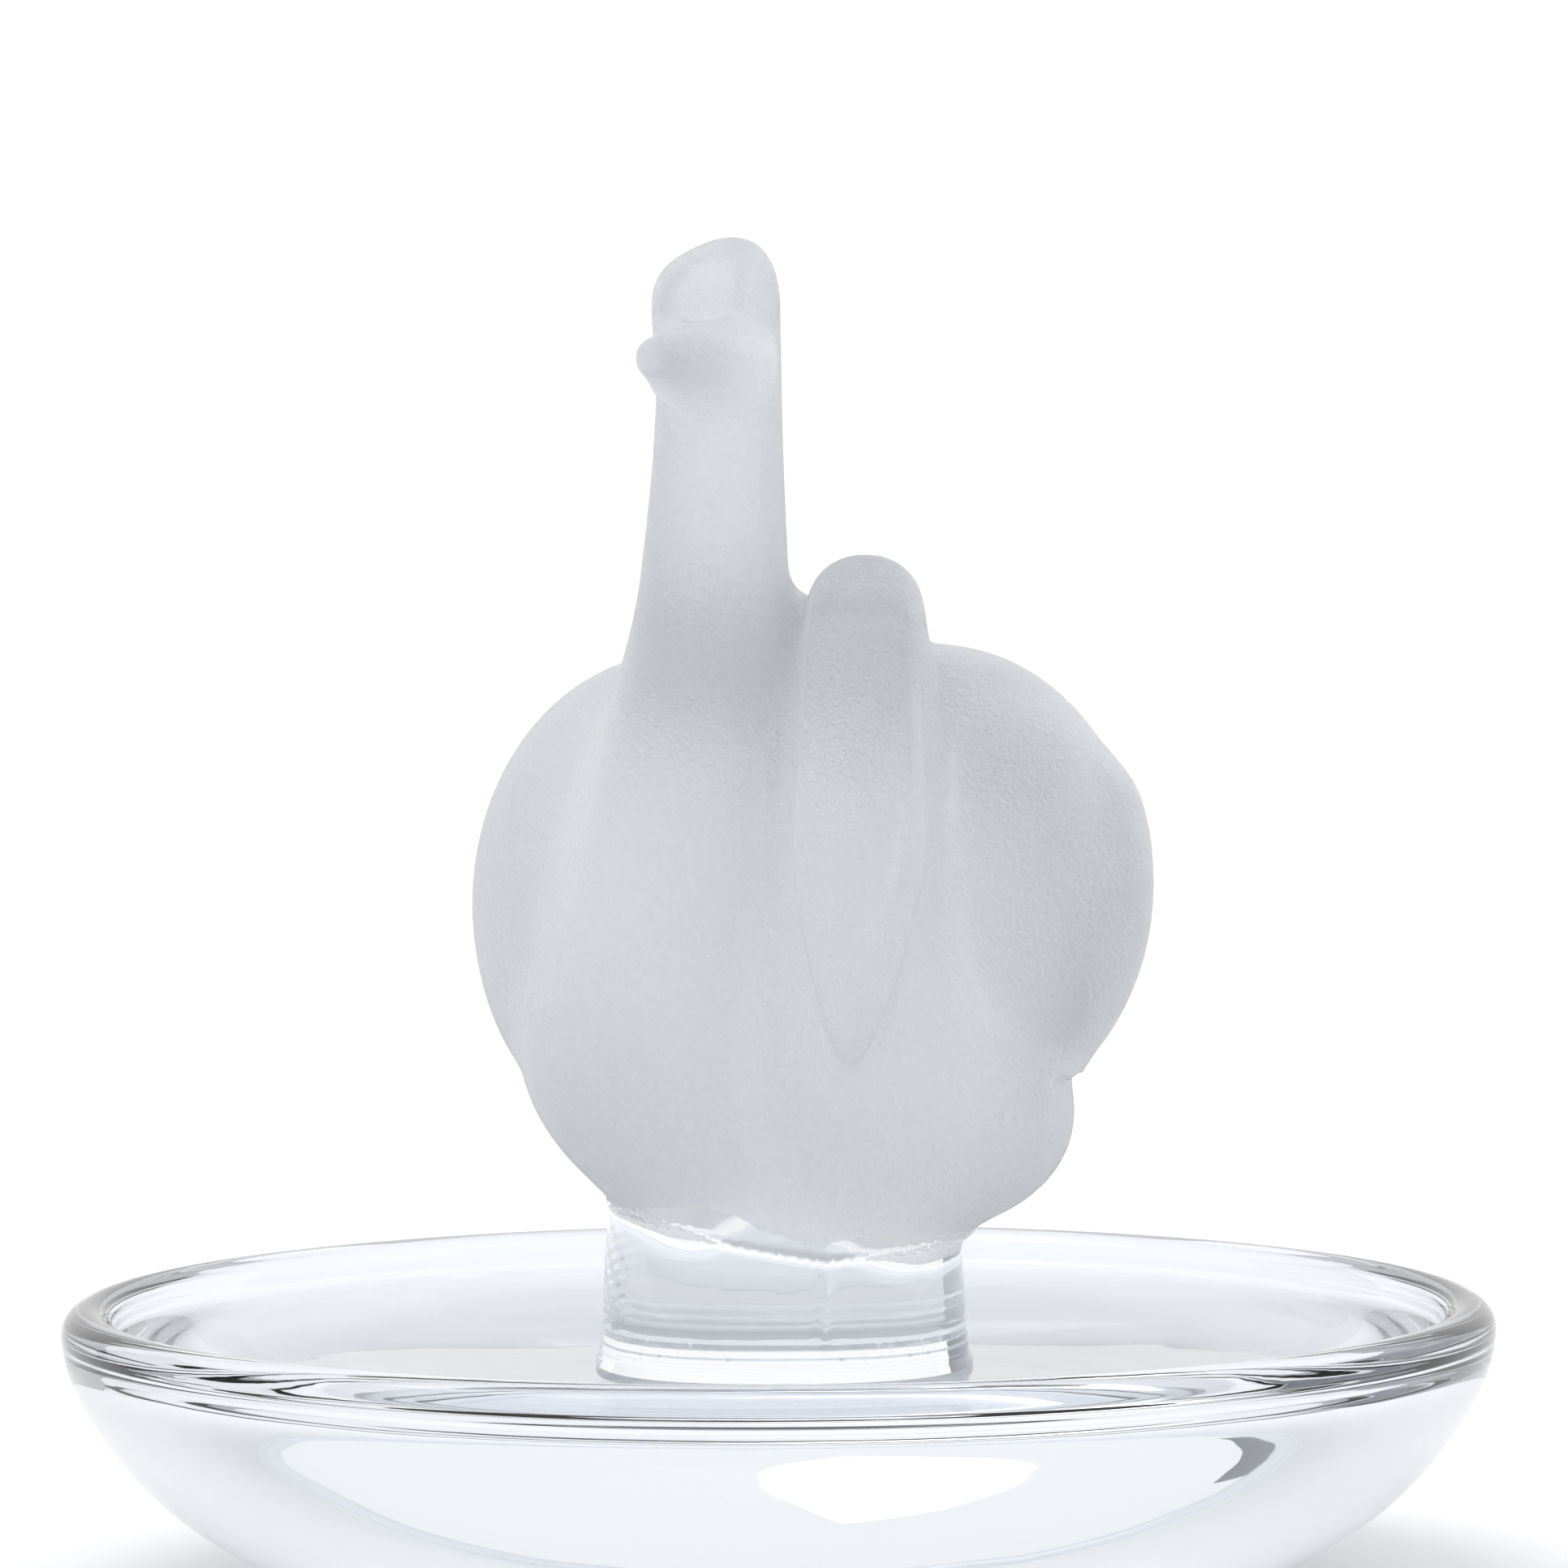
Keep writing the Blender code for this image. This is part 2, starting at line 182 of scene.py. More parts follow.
class NodeDesk:
    """Short calls for building one material's nodes."""

    def __init__(self, name: str) -> None:
        """Starts a material.

        Args:
            name: The material's name.
        """
        self.material = bpy.data.materials.new(name)
        self.material.use_nodes = True
        self.tree = self.material.node_tree
        self.shader = self.tree.nodes["Principled BSDF"]
        self.coordinates = self.tree.nodes.new("ShaderNodeTexCoord")

    def add(
        self, kind: str, inputs: dict[str, object] | None = None, **settings: object
    ) -> bpy.types.Node:
        """Adds a node.

        Args:
            kind: Its type, without the common first words.
            inputs: A value or an output for each named input.
            settings: The node's own settings.

        Returns:
            The node.
        """
        node = self.tree.nodes.new("ShaderNode" + kind)
        for key, value in settings.items():
            setattr(node, key, value)
        for key, value in (inputs or {}).items():
            self.put(node.inputs[key], value)
        return node

    def put(self, socket: bpy.types.NodeSocket, value: object) -> None:
        """Links an output to a socket, or sets the socket's own value."""
        if isinstance(value, bpy.types.NodeSocket):
            self.tree.links.new(value, socket)
        else:
            socket.default_value = value

    def noise(self, size: float, detail: float) -> bpy.types.NodeSocket:
        """Noise on the piece's own coordinates.

        Args:
            size: The grain's size in millimetres.
            detail: The noise's finer layers.

        Returns:
            The noise from 0 to 1.
        """
        node = self.add("TexNoise", {
            "Vector": self.coordinates.outputs["Object"],
            "Scale": 1.0 / (size * MM),
            "Detail": detail,
        })
        return node.outputs["Fac"]

    def span(self, value: bpy.types.NodeSocket, low: float, high: float) -> bpy.types.NodeSocket:
        """Spreads a 0 to 1 value between two levels."""
        node = self.add("MapRange", {"Value": value, "To Min": low, "To Max": high})
        return node.outputs["Result"]

    def bump(
        self,
        height: bpy.types.NodeSocket,
        depth: float,
        strength: float,
        under: bpy.types.NodeSocket | None = None,
    ) -> bpy.types.NodeSocket:
        """Gives a surface's shading the relief of a pattern.

        Args:
            height: The pattern, from 0 to 1.
            depth: Its real depth in millimetres.
            strength: How much of it shows.
            under: The normal that it goes on.

        Returns:
            The normal with the pattern's relief.
        """
        inputs: dict[str, object] = {
            "Height": height, "Distance": depth * MM, "Strength": strength
        }
        if under:
            inputs["Normal"] = under
        return self.add("Bump", inputs).outputs["Normal"]


@dataclass(frozen=True)
class FrostedCrystal:
    """Satin, acid-etched crystal with a fine sparkling grain. Its sizes are in millimetres."""

    colour: Colour = (0.75, 0.768, 0.802)
    ior: float = 1.52
    see_through: float = 0.86
    rough_low: float = 0.52
    rough_high: float = 0.72
    grain: float = 0.3
    grain_depth: float = 0.16
    grain_strength: float = 0.8
    mottle: float = 0.45
    mottle_depth: float = 0.12
    mottle_low: float = 0.2
    mottle_high: float = 0.8
    dimple: float = 1.6
    dimple_depth: float = 0.05
    dimple_strength: float = 0.5
    sheen: float = 0.5
    sheen_roughness: float = 0.45

    def make(self) -> bpy.types.Material:
        """The finish as a material."""
        desk = NodeDesk("frosted crystal")
        shader = desk.shader.inputs
        shader["Transmission Weight"].default_value = self.see_through
        shader["IOR"].default_value = self.ior
        mottle = desk.noise(self.mottle, detail=3.0)
        tint = desk.add("MixRGB", {
            "Fac": desk.span(mottle, self.mottle_low, self.mottle_high),
            "Color1": (*((1.0 - self.mottle_depth) * part for part in self.colour), 1.0),
            "Color2": (*((1.0 + self.mottle_depth) * part for part in self.colour), 1.0),
        })
        desk.put(shader["Base Color"], tint.outputs["Color"])
        shader["Sheen Weight"].default_value = self.sheen
        shader["Sheen Roughness"].default_value = self.sheen_roughness
        grain = desk.noise(self.grain, detail=2.0)
        desk.put(shader["Roughness"], desk.span(grain, self.rough_low, self.rough_high))
        dimple = desk.noise(self.dimple, detail=3.0)
        soft = desk.bump(dimple, self.dimple_depth, self.dimple_strength)
        fine = desk.bump(grain, self.grain_depth, self.grain_strength, soft)
        desk.put(shader["Normal"], fine)
        return desk.material


@dataclass(frozen=True)
class ClearCrystal:
    """Fire-polished clear crystal with the faint waviness of pressed glass, in millimetres."""

    name: str
    colour: Colour = (0.835, 0.86, 0.90)
    wave: float = 9.0
    wave_depth: float = 0.05
    blur: float = 0.02
    smear: float = 3.0
    wave_strength: float = 0.35
    ior: float = 1.54

    def make(self) -> bpy.types.Material:
        """The finish as a material."""
        desk = NodeDesk(self.name)
        shader = desk.shader.inputs
        shader["Base Color"].default_value = (*self.colour, 1.0)
        shader["Transmission Weight"].default_value = 1.0
        shader["IOR"].default_value = self.ior
        smear = desk.noise(self.smear, detail=4.0)
        desk.put(shader["Roughness"], desk.span(smear, 0.0, self.blur))
        wave = desk.noise(self.wave, detail=1.0)
        desk.put(shader["Normal"], desk.bump(wave, self.wave_depth, self.wave_strength))
        return desk.material


PLINTH_CRYSTAL = ClearCrystal(
    "clear plinth crystal", colour=(0.93, 0.943, 0.965), wave=5.0, wave_depth=0.06
)
BLURRED_CRYSTAL = ClearCrystal(
    "blurred crystal", colour=(0.70, 0.705, 0.72), wave=1.2, wave_depth=0.15, blur=0.3
)


@dataclass(frozen=True)
class SweptForm:
    """A closed rounded form along a smooth path, in millimetres from the plinth's top."""

    keys: tuple[Key, ...]
    fullness: float = 2.0
    rounding: float = 0.5
    sides: int = 56
    rings: int = 72

    def upper(self, first: int) -> "SweptForm":
        """The same form from one of its keys on."""
        return replace(self, keys=self.keys[first:])

    def section(self, share: float) -> tuple[Vector, Vector, Vector, list[float]]:
        """The form's cross-section.

        Args:
            share: Where on the path, from 0 to 1.

        Returns:
            The middle, the directions of width and of thickness, and the two half sizes.
        """
        step = 0.5 / self.rings
        centre, sizes = curve_point(self.keys, share)
        ahead = curve_point(self.keys, share + step)[0]
        behind = curve_point(self.keys, share - step)[0]
        along = (ahead - behind).normalized()
        across = (Vector((1.0, 0.0, 0.0)) - along * along.x).normalized()
        return centre, across, across.cross(along), sizes

    def add_to(self, bm: bmesh.types.BMesh) -> None:
        """Adds the form to a mesh, as a sphere drawn out along the path."""
        made = bmesh.ops.create_uvsphere(
            bm, u_segments=self.sides, v_segments=self.rings, radius=1.0
        )
        sections = [self.section(ring / self.rings) for ring in range(self.rings + 1)]
        dome = 2.0 * self.rounding
        for vert in made["verts"]:
            ring = round(math.acos(min(max(vert.co.z, -1.0), 1.0)) / math.pi * self.rings)
            centre, across, thick, (half_width, half_thickness) = sections[ring]
            share = ring / self.rings
            past = max(0.0, abs(2.0 * share - 1.0) - 1.0 + dome) / dome
            size = math.sqrt(max(0.0, 1.0 - past * past))
            c, s = superellipse(math.atan2(vert.co.y, vert.co.x), self.fullness)
            vert.co = centre + size * (c * half_width * across + s * half_thickness * thick)


TALL_WING = SweptForm((
    (-7.5, -6.0, 9.8, 11.4, 10.8),
    (-7.5, -3.0, 13.2, 13.2, 13.2),
    (-7.4, 7.0, 21.1, 14.1, 15.7),
    (-7.2, 17.0, 27.2, 12.6, 14.1),
    (-7.8, 27.0, 32.5, 9.0, 7.8),
))
TALL_TAIL = SweptForm((
    (-7.5, 10.0, 13.0, 8.0, 7.0),
    (-7.8, 17.0, 16.5, 7.0, 4.6),
    (-8.1, 22.5, 20.0, 5.8, 2.8),
    (-8.3, 28.0, 23.5, 4.0, 1.7),
), rounding=0.16)
TALL_NECK = SweptForm((
    (-4.0, 0.0, -3.0, 6.4, 12.6),
    (-4.5, -0.6, 2.5, 6.7, 13.3),
    (-8.2, -1.6, 11.2, 9.7, 13.8),
    (-8.4, -2.8, 18.0, 8.7, 12.8),
    (-6.9, -4.4, 26.0, 7.5, 10.8),
    (-5.4, -7.1, 34.0, 6.25, 8.0),
    (-4.6, -9.3, 40.5, 5.3, 6.0),
    (-4.3, -10.2, 46.5, 4.75, 5.0),
    (-4.1, -10.7, 52.5, 4.35, 4.6),
    (-4.0, -10.8, 59.0, 4.15, 4.4),
), 2.2, 0.05)
TALL_CROWN = SweptForm((
    (-4.05, -10.8, 52.0, 4.2, 4.4),
    (-4.1, -11.1, 57.0, 4.25, 4.8),
    (-4.2, -11.4, 60.5, 4.3, 5.1),
    (-4.35, -11.6, 62.6, 4.35, 5.2),
    (-5.6, -12.0, 65.5, 4.5, 5.0),
), 2.2, 0.25)
TALL_BILL = SweptForm((
    (-3.8, -11.5, 57.8, 3.9, 3.2),
    (-4.3, -15.5, 57.6, 4.1, 3.3),
    (-5.2, -18.3, 57.5, 3.7, 3.0),
    (-6.3, -21.0, 57.9, 2.9, 2.3),
    (-7.6, -23.8, 58.2, 2.0, 1.6),
    (-8.6, -25.4, 58.3, 1.4, 1.2),
), 2.2, 0.1)
BOWED_WING = SweptForm((
    (10.2, -11.4, 22.6, 13.9, 15.8),
    (10.2, -7.5, 22.8, 14.1, 16.2),
    (10.2, 1.5, 22.6, 14.0, 15.8),
    (10.1, 12.0, 24.0, 13.2, 14.0),
    (9.6, 27.0, 29.6, 9.0, 8.0),
), rounding=0.25)
BOWED_WRIST = SweptForm((
    (16.2, -12.6, 22.4, 6.0, 12.2),
    (16.2, -10.0, 22.8, 6.3, 13.0),
    (15.9, -3.0, 23.2, 6.6, 13.0),
    (15.2, 8.0, 24.0, 6.9, 11.4),
), rounding=0.4)
BOWED_FLANK = SweptForm((
    (9.7, -13.2, 6.9, 9.9, 7.3),
    (9.5, -8.5, 7.1, 10.3, 7.9),
    (9.2, 0.0, 7.4, 10.7, 8.4),
    (8.8, 9.0, 10.4, 10.4, 8.8),
    (8.6, 22.0, 17.0, 8.0, 6.0),
), rounding=0.3)
BOWED_TAIL = SweptForm((
    (8.4, 10.0, 13.5, 8.0, 7.0),
    (8.6, 17.0, 17.0, 7.0, 4.6),
    (8.8, 22.5, 20.5, 5.8, 2.8),
    (8.9, 28.0, 24.0, 4.0, 1.7),
), rounding=0.16)
BOWED_NECK = SweptForm((
    (4.6, 0.0, -3.0, 6.8, 12.6),
    (5.2, -0.6, 3.0, 8.8, 13.8),
    (5.4, -1.6, 10.5, 10.0, 14.8),
    (5.3, -3.0, 15.5, 8.9, 14.4),
    (5.3, -5.6, 20.5, 6.9, 12.2),
    (5.3, -8.6, 25.5, 5.8, 9.4),
    (5.35, -10.6, 31.0, 5.3, 7.4),
    (5.45, -11.2, 36.0, 4.9, 6.6),
    (5.55, -12.0, 40.3, 4.3, 5.2),
), 2.3, 0.05)
BOWED_HEAD = SweptForm((
    (5.55, -11.0, 36.5, 4.5, 4.2),
    (5.6, -11.8, 40.2, 4.2, 4.2),
    (5.6, -13.8, 41.4, 3.9, 3.7),
    (5.5, -16.0, 39.4, 4.0, 3.6),
    (5.25, -17.0, 35.0, 4.0, 3.6),
    (5.15, -17.2, 29.5, 4.3, 3.8),
    (5.1, -17.2, 25.5, 4.5, 3.8),
    (4.9, -17.2, 21.0, 3.8, 3.4),
    (4.7, -17.2, 16.5, 2.7, 2.8),
    (4.5, -17.2, 13.2, 1.5, 2.0),
    (4.4, -17.2, 11.2, 0.7, 1.2),
), 2.1, 0.08)
BELLIES = SweptForm((
    (0.1, 0.0, -3.0, 11.0, 13.2),
    (0.2, 0.0, 0.0, 11.4, 13.4),
    (0.5, -0.2, 5.0, 12.0, 13.6),
    (0.6, -0.4, 11.0, 15.4, 12.8),
    (0.9, -0.8, 18.0, 14.0, 11.6),
    (1.1, -2.0, 26.0, 10.0, 8.5),
), 2.4, 0.1)
BACKS = SweptForm((
    (2.0, -12.2, 30.0, 8.6, 10.4),
    (2.0, -9.0, 30.0, 8.8, 10.6),
    (1.8, -3.0, 29.6, 9.2, 10.8),
    (1.4, 7.0, 26.0, 9.5, 12.0),
    (1.2, 19.5, 17.0, 7.0, 8.0),
), rounding=0.2)
NECKS_WEB = SweptForm((
    (-0.8, -5.0, 16.0, 5.5, 7.5),
    (0.0, -6.0, 26.0, 4.4, 5.6),
    (0.6, -7.6, 34.0, 3.4, 3.8),
    (1.0, -8.8, 42.3, 2.9, 3.8),
), 2.2, 0.06)


@dataclass(frozen=True)
class Plinth:
    """The clear plinth that the swans are cast in one piece with, in millimetres."""

    width: float = 25.2
    depth: float = 28.5
    height: float = 10.2
    squareness: float = 2.5
    taper: float = 0.955
    root: float = 2.0
    root_taper: float = 0.935
    rounding: float = 0.04
    flare: float = 0.35
    flare_fall: float = 0.7
    flare_reach: float = 5.0

    def form(self) -> SweptForm:
        """The plinth from a root inside the swans to below its foot, where it is cut flat."""
        widths = (self.root_taper, self.taper, 1.0, 1.0)
        heights = (self.root, 0.0, -self.height, -self.height - self.root)
        return SweptForm(tuple(
            (0.0, 0.0, height, 0.5 * self.width * width, 0.5 * self.depth * width)
            for width, height in zip(widths, heights)
        ), self.squareness, self.rounding)


@dataclass(frozen=True)
class HeadFacet:
    """The flat front of a head, pressed in between two fine ridges that close in a V."""

    middle: float
    half_width: float
    top: float
    shoulder: float
    point: float
    front: float = -13.8
    depth: float = 0.42
    edge: float = 0.6
    ridge_height: float = 0.03
    ridge_width: float = 0.32
    top_fade: float = 2.0
    front_fade: float = 1.2
    facing: Fade = (0.25, 0.35)

    def relief(self, points: np.ndarray, normals: np.ndarray) -> np.ndarray:
        """How far the facet and its ridges stand out of the head.

        Args:
            points: The skin's points in millimetres.
            normals: Its outward normals.

        Returns:
            The height at each point in millimetres.
        """
        closing = np.clip((points[:, 2] - self.point) / (self.shoulder - self.point), 0.0, 1.0)
        inside = self.half_width * closing - np.abs(points[:, 0] - self.middle)
        ends = smooth_step((self.top - points[:, 2]) / self.top_fade) * (closing > 0.0)
        facing = fade_in(-normals[:, 1], self.facing)
        front = facing * smooth_step((self.front - points[:, 1]) / self.front_fade)
        ridge = self.ridge_height * bump_shape(inside, 0.0, self.ridge_width)
        return front * ends * (ridge - self.depth * smooth_step(inside / self.edge))


@dataclass(frozen=True)
class WingFeathers:
    """The relief of a folded wing: a scalloped lower edge, long quills, and coverts above them."""

    side: Side
    front: float
    slope: float = 0.57
    edge: float = 14.3
    step: float = 0.9
    quill_length: float = 7.5
    quill_pitch: float = 5.2
    quill_slant: float = 0.9
    quill_groove: float = 0.45
    scallop: float = 1.3
    covert_length: float = 3.6
    covert_pitch: float = 3.4
    covert_step: float = 0.4
    scallop_middle: float = 0.4
    edge_blend: float = 0.9
    covert_blend: float = 0.6
    front_fade: float = 3.0
    behind: Fade = (1.0, 4.0)
    outer: Fade = (8.0, 4.0)
    upper: Fade = (28.0, 5.0)
    facing: Fade = (0.1, 0.4)

    def relief(self, points: np.ndarray, normals: np.ndarray) -> np.ndarray:
        """How far the wing stands out of the body.

        Args:
            points: The skin's points in millimetres.
            normals: Its outward normals.

        Returns:
            The height at each point in millimetres.
        """
        lean = math.atan(self.slope)
        rise = points[:, 2] - self.edge
        along = points[:, 1] * math.cos(lean) + rise * math.sin(lean)
        above = rise * math.cos(lean) - points[:, 1] * math.sin(lean)
        quill = np.abs(np.sin(math.pi * (along + self.quill_slant * above) / self.quill_pitch))
        covert = np.abs(np.sin(math.pi * along / self.covert_pitch))
        scallop = self.scallop * (quill - self.scallop_middle)
        wing = self.step * smooth_step((above + scallop) / self.edge_blend)
        into = above - self.quill_length + 0.5 * self.scallop * covert
        grooves = self.quill_groove * (1.0 - quill) ** 3 * (into < 0.0)
        coverts = self.covert_step * smooth_step(into / self.covert_blend) * (
            1.0 - fade_in(into, (self.covert_blend, self.covert_length))
        )
        behind = fade_in(points[:, 1], self.behind)
        outer = fade_in(self.side.value * points[:, 0], self.outer)
        front_fade = fade_in(points[:, 1], (self.front, self.front_fade))
        top_fade = 1.0 - fade_in(points[:, 2], self.upper)
        facing = fade_in(self.side.value * normals[:, 0], self.facing)
        return facing * top_fade * outer * front_fade * wing / self.step * (
            self.step + behind * (coverts - grooves)
        )


@dataclass
class SwanPair:
    """The two swans and their plinth, cast as one piece."""

    floor: float
    joint_gap: float = 0.3
    plinth: Plinth = field(default_factory=Plinth)
    voxel: float = 0.42
    body_softening: float = 2.8
    softening: float = 1.2
    offset: float = 0.4
    feathers: tuple[WingFeathers, ...] = (
        WingFeathers(Side.RIGHT, -12.5),
        WingFeathers(Side.LEFT, 12.0),
    )
    facets: tuple[HeadFacet, ...] = (
        HeadFacet(4.85, 3.5, 43.0, 26.5, 17.1),
        HeadFacet(-5.2, 2.9, 66.5, 61.2, 60.4),
    )
    seam: Line = ((-10.2, 2.2), (-6.0, 2.5), (-2.0, 2.9), (6.5, 3.9), (12.0, 4.2))
    seam_width: float = 0.35
    seam_height: float = 0.14
    seam_top: Fade = (10.0, 2.0)
    seam_facing: Fade = (0.3, 0.3)
    frost_front: Line = (
        (-11.2, 1.05), (-5.8, 1.8), (-3.6, 1.1), (-0.9, -0.2),
        (2.7, -1.3), (3.3, -0.75), (7.1, -0.3), (11.6, -0.7),
    )
    frost_back: Line = ((-11.2, 1.05), (11.6, -0.7))
    frost_ripples: tuple[Ripple, ...] = ((0.07, 2.3, 1.7), (0.05, 6.1, -3.9))
    mould_edge: Line = (
        (-10.6, 0.85), (-6.3, -0.05), (-3.6, -1.0), (-0.9, -1.5),
        (2.7, -2.1), (4.4, -1.95), (11.4, -1.2),
    )
    mould_ripples: tuple[Ripple, ...] = ((0.08, 7.3, 0.0), (0.06, 17.1, 2.0))
    bead_width: float = 0.22
    bead_height: float = 0.13
    foot_lines: tuple[float, ...] = (0.75, 1.4, 2.1)
    line_width: float = 0.16
    line_depth: float = 0.07
    dent_depth: float = 0.07
    dent_height: float = 6.5
    dent_spread: float = 2.6
    dent_width: float = 1.6
    dent_waves: tuple[float, float, float] = (5.1, 2.3, 1.9)
    fine_below: float = 3.0
    closest_cut: float = 0.05
    throat_key: int = 4

    def fused(
        self, forms: Sequence[SweptForm], softening: float, body: bpy.types.Mesh | None = None
    ) -> bpy.types.Mesh:
        """One skin around forms, with creases softened as in pressed glass.

        Args:
            forms: What it goes round.
            softening: The creases' softening in millimetres.
            body: A finished skin to start from.

        Returns:
            The skin.
        """
        bm = bmesh.new()
        if body:
            bm.from_mesh(body)
        for form in forms:
            form.add_to(bm)
        mesh = bpy.data.meshes.new("forms")
        bm.to_mesh(mesh)
        bm.free()
        obj = linked_object("forms", mesh)
        skin = obj.modifiers.new("one skin", "REMESH")
        skin.mode = "VOXEL"
        skin.voxel_size = self.voxel
        soft = obj.modifiers.new("soft creases", "SMOOTH")
        soft.factor = 0.5
        soft.iterations = round(2.0 * (softening / self.voxel) ** 2)
        return evaluated_mesh(obj, "skin")

    def seam_relief(self, points: np.ndarray, normals: np.ndarray) -> np.ndarray:
        """The faint ridge that the mould's joint leaves down the breast and the plinth's front."""
        heights, places = zip(*self.seam)
        line = np.interp(points[:, 2], heights, places)
        ridge = self.seam_height * bump_shape(points[:, 0] - line, 0.0, self.seam_width)
        below_bill = 1.0 - fade_in(points[:, 2], self.seam_top)
        return ridge * below_bill * fade_in(-normals[:, 1], self.seam_facing)

    def over_mould_edge(self, points: np.ndarray) -> np.ndarray:
        """How far points are above the ragged line where the mould's halves end on the plinth."""
        places, heights = zip(*self.mould_edge)
        ragged = rippled(self.mould_ripples, points)
        return points[:, 2] - np.interp(points[:, 0], places, heights) + ragged

    def mould_relief(self, points: np.ndarray) -> np.ndarray:
        """The bead at the mould's ragged end, the lines round the foot and a corner's dents."""
        front = points[:, 1] < 0.0
        bead = self.bead_height * bump_shape(self.over_mould_edge(points), 0.0, self.bead_width)
        height = points[:, 2] + self.plinth.height
        lines = sum(bump_shape(height, line, self.line_width) for line in self.foot_lines)
        corner = bump_shape(points[:, 0], -0.5 * self.plinth.width, self.dent_width)
        corner *= bump_shape(height, self.dent_height, self.dent_spread)
        fast, slow, slant = self.dent_waves
        dents = np.sin(fast * points[:, 2]) * np.sin(slow * points[:, 2] + slant * points[:, 1])
        return bead * front - self.line_depth * lines + self.dent_depth * corner * dents

    def foot_flare(self, points: np.ndarray) -> np.ndarray:
        """The small fillet that spreads where the plinth meets the dish's floor."""
        foot = -self.plinth.height
        fall = np.exp(np.minimum(0.0, (foot - points[:, 2]) / self.plinth.flare_fall))
        return self.plinth.flare * fall * (points[:, 2] < foot + self.plinth.flare_reach)

    def finer_plinth(self, mesh: bpy.types.Mesh) -> None:
        """Halves the skin's edges over the plinth, whose mould marks are fine."""
        bm = bmesh.new()
        bm.from_mesh(mesh)
        low = [
            edge for edge in bm.edges if max(vert.co.z for vert in edge.verts) < self.fine_below
        ]
        bmesh.ops.subdivide_edges(bm, edges=low, cuts=1, use_grid_fill=True, smooth=0.5)
        bm.to_mesh(mesh)
        bm.free()

    def carve(self, mesh: bpy.types.Mesh) -> None:
        """Moves the skin out along its normals for the feathers, facets and marks of the mould."""
        count = len(mesh.vertices)
        points, normals = np.empty(count * 3, np.float32), np.empty(count * 3, np.float32)
        mesh.vertices.foreach_get("co", points)
        mesh.vertices.foreach_get("normal", normals)
        points, normals = points.reshape(-1, 3), normals.reshape(-1, 3)
        relief = self.seam_relief(points, normals) + self.foot_flare(points)
        relief += self.mould_relief(points)
        for carving in (*self.feathers, *self.facets):
            relief += carving.relief(points, normals)
        points += normals * relief[:, None]
        mesh.vertices.foreach_set("co", points.ravel())
        mesh.update()

    def over_frost_line(self, point: Vector) -> float:
        """How far a point is above the wavy lower edge of the frosting."""
        places, heights = zip(*(self.frost_front if point.y < 0.0 else self.frost_back))
        ripple = float(rippled(self.frost_ripples, np.array([point]))[0])
        return point.z - float(np.interp(point.x, places, heights)) - ripple

    def part_frosted(self, bm: bmesh.types.BMesh) -> None:
        """Splits faces along the frosting's lower edge, and sets each face's material.

        The first is above the frosting's edge, the second is clear, and the third is blurred,
        between the frosting and the mould's end at the front.

        Args:
            bm: The skin, in millimetres from the plinth's top.
        """
        over = {vert: self.over_frost_line(vert.co) for vert in bm.verts}
        crossed = [edge for edge in bm.edges if over[edge.verts[0]] * over[edge.verts[1]] < 0.0]
        cuts = []
        for edge in crossed:
            low, high = edge.verts
            share = over[low] / (over[low] - over[high])
            share = min(max(share, self.closest_cut), 1.0 - self.closest_cut)
            cuts.append(bmesh.utils.edge_split(edge, low, share)[1])
        bmesh.ops.connect_verts(bm, verts=cuts)
        for face in bm.faces:
            middle = face.calc_center_median()
            clear = self.over_frost_line(middle) < 0.0
            blurred = middle.y < 0.0 and self.over_mould_edge(np.array([middle]))[0] > 0.0
            face.material_index = int(clear) + int(clear and blurred)

    def stood(self, mesh: bpy.types.Mesh) -> bpy.types.Mesh:
        """The carved skin cut flat at its foot, lifted over the dish's floor and made metres.

        Args:
            mesh: The carved skin, in millimetres from the plinth's top.

        Returns:
            The same mesh, with its faces on their three materials.
        """
        bm = bmesh.new()
        bm.from_mesh(mesh)
        bmesh.ops.bisect_plane(
            bm, geom=bm.verts[:] + bm.edges[:] + bm.faces[:],
            plane_co=(0.0, 0.0, -self.plinth.height), plane_no=(0.0, 0.0, -1.0), clear_outer=True,
        )
        bmesh.ops.holes_fill(bm, edges=[edge for edge in bm.edges if edge.is_boundary])
        bmesh.ops.recalc_face_normals(bm, faces=bm.faces)
        self.part_frosted(bm)
        lift = self.floor + self.joint_gap + self.plinth.height
        bmesh.ops.translate(bm, vec=(self.offset, 0.0, lift), verts=bm.verts)
        bmesh.ops.transform(bm, matrix=Matrix.Scale(MM, 4), verts=bm.verts)
        bm.to_mesh(mesh)
        bm.free()
        return mesh

    def build(self) -> bpy.types.Object:
        """The dressed pair, which replaces the CAD's plainer carving."""
        necks = (TALL_NECK, BOWED_NECK)
        masses = (
            TALL_WING, TALL_TAIL, BOWED_WING, BOWED_WRIST, BOWED_FLANK, BOWED_TAIL,
            BELLIES, BACKS, NECKS_WEB,
        )
        heads = (TALL_CROWN, TALL_BILL, BOWED_HEAD)
        body = self.fused((*masses, *necks), self.body_softening)
        throats = [neck.upper(self.throat_key) for neck in necks]
        mesh = self.fused((*throats, *heads, self.plinth.form()), self.softening, body)
        self.finer_plinth(mesh)
        self.carve(mesh)
        obj = linked_object("frosted_swans", self.stood(mesh))
        for finish in (FrostedCrystal(), PLINTH_CRYSTAL, BLURRED_CRYSTAL):
            obj.data.materials.append(finish.make())
        obj.data.shade_smooth()
        obj.data.set_sharp_from_angle(angle=SHARP_ANGLE)
        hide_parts("swan_pair")
        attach(obj, "root")
        return obj


